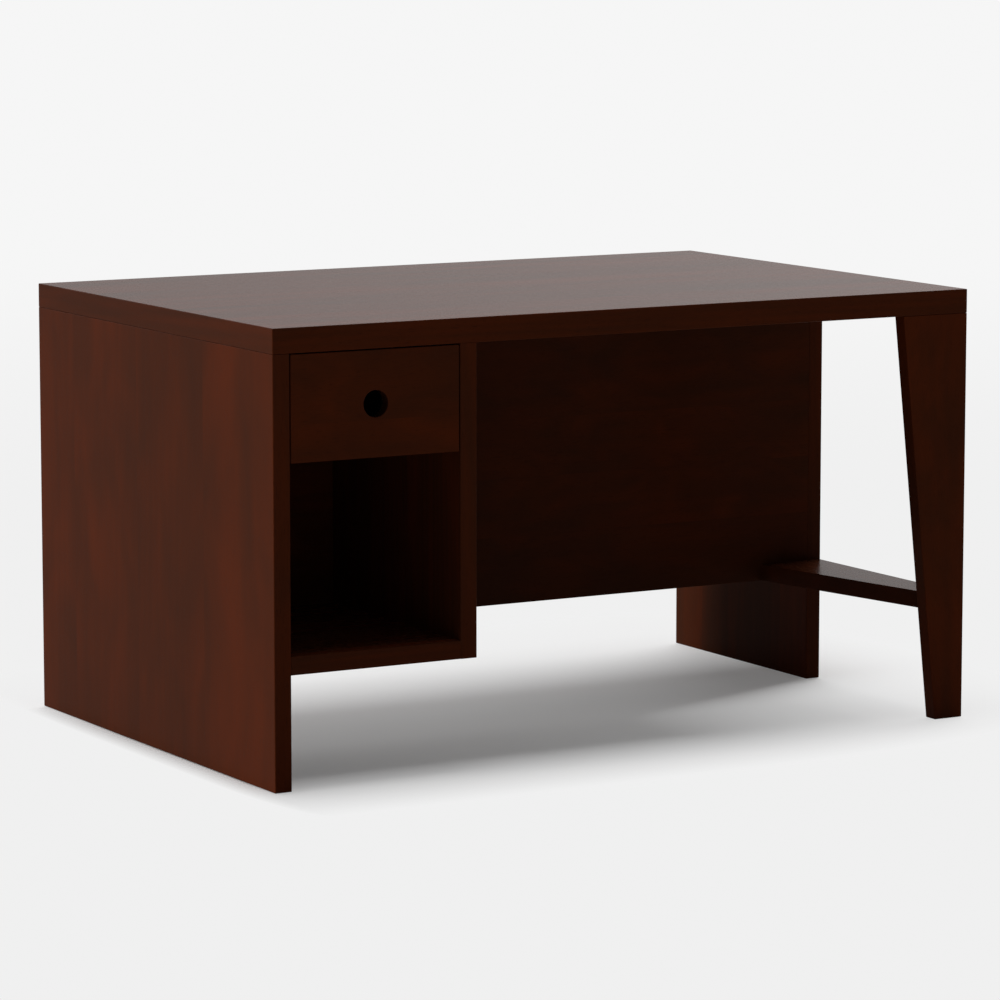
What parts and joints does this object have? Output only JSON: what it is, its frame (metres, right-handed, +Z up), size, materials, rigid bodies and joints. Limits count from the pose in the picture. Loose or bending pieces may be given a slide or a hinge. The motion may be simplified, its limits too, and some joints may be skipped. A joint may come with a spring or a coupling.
{
  "type": "kneehole desk",
  "caption": "Dark mahogany-stained kneehole desk: thick flush top, drawer pedestal with open cubby, half-depth modesty panel, slab support and tapered leg tied by a low stretcher.",
  "frame": {"origin": "centre of the desk's footprint, on the floor", "axes": "+Z up, +X to the right of the person who sits at it, front facing -Y"},
  "size_m": [1.37, 0.91, 0.764],
  "materials": {
    "mahogany": "dark mahogany stain under satin lacquer",
    "drawer_wood": "clear satin lacquer",
    "drawer_ply": "sealed plywood",
    "beech": "bare",
    "slide_zinc": "zinc plated",
    "cage_steel": "zinc plated",
    "ball_steel": "polished",
    "screw_steel": "zinc plated",
    "cam_zinc": "die-cast zinc alloy",
    "cap_plastic": "moulded, dark brown",
    "bracket_black": "black powder coat",
    "glide_nylon": "moulded nylon"
  },
  "bodies": {
    "desk": {"top_panel": "mahogany", "left_end_panel": "mahogany", "pedestal_side_panel": "mahogany", "pedestal_floor_panel": "mahogany", "modesty_panel": "mahogany", "rear_support_panel": "mahogany", "front_leg": "mahogany", "foot_stretcher": "mahogany", "wooden_dowels": "beech", "cam_locks": "cam_zinc", "cam_bolts": "screw_steel", "cam_cover_caps": "cap_plastic", "leg_bracket": "bracket_black", "leg_bracket_screws": "screw_steel", "floor_glides": "glide_nylon", "glide_nails": "screw_steel", "slide_cabinet_member_left": "slide_zinc", "slide_cabinet_member_right": "slide_zinc", "slide_cabinet_screws": "screw_steel"},
    "drawer": {"drawer_front": "mahogany", "drawer_box_front": "drawer_wood", "drawer_box_left_side": "drawer_wood", "drawer_box_right_side": "drawer_wood", "drawer_box_back": "drawer_wood", "drawer_bottom": "drawer_ply", "drawer_front_screws": "screw_steel", "slide_drawer_member_left": "slide_zinc", "slide_drawer_member_right": "slide_zinc", "slide_drawer_screws": "screw_steel"},
    "slide_middle_left": {"slide_middle_member_left": "slide_zinc"},
    "outer_cage_left": {"outer_ball_cage_left": "cage_steel", "outer_balls_left": "ball_steel"},
    "inner_cage_left": {"inner_ball_cage_left": "cage_steel", "inner_balls_left": "ball_steel"},
    "slide_middle_right": {"slide_middle_member_right": "slide_zinc"},
    "outer_cage_right": {"outer_ball_cage_right": "cage_steel", "outer_balls_right": "ball_steel"},
    "inner_cage_right": {"inner_ball_cage_right": "cage_steel", "inner_balls_right": "ball_steel"}
  },
  "joints": [
    {"name": "drawer_slide", "type": "slide", "parent": "desk", "child": "drawer", "axis": [0, -1, 0], "range_m": [0, 0.38]},
    {"name": "slide_middle_left_slide", "type": "slide", "parent": "desk", "child": "slide_middle_left", "axis": [0, -1, 0], "range_m": [0, 0.19]},
    {"name": "outer_cage_left_slide", "type": "slide", "parent": "desk", "child": "outer_cage_left", "axis": [0, -1, 0], "range_m": [0, 0.095]},
    {"name": "inner_cage_left_slide", "type": "slide", "parent": "desk", "child": "inner_cage_left", "axis": [0, -1, 0], "range_m": [0, 0.285]},
    {"name": "slide_middle_right_slide", "type": "slide", "parent": "desk", "child": "slide_middle_right", "axis": [0, -1, 0], "range_m": [0, 0.19]},
    {"name": "outer_cage_right_slide", "type": "slide", "parent": "desk", "child": "outer_cage_right", "axis": [0, -1, 0], "range_m": [0, 0.095]},
    {"name": "inner_cage_right_slide", "type": "slide", "parent": "desk", "child": "inner_cage_right", "axis": [0, -1, 0], "range_m": [0, 0.285]}
  ],
  "couplings": [
    {"joint": "slide_middle_left_slide", "follows": "drawer_slide", "ratio": 0.5},
    {"joint": "outer_cage_left_slide", "follows": "drawer_slide", "ratio": 0.25},
    {"joint": "inner_cage_left_slide", "follows": "drawer_slide", "ratio": 0.75},
    {"joint": "slide_middle_right_slide", "follows": "drawer_slide", "ratio": 0.5},
    {"joint": "outer_cage_right_slide", "follows": "drawer_slide", "ratio": 0.25},
    {"joint": "inner_cage_right_slide", "follows": "drawer_slide", "ratio": 0.75}
  ]
}
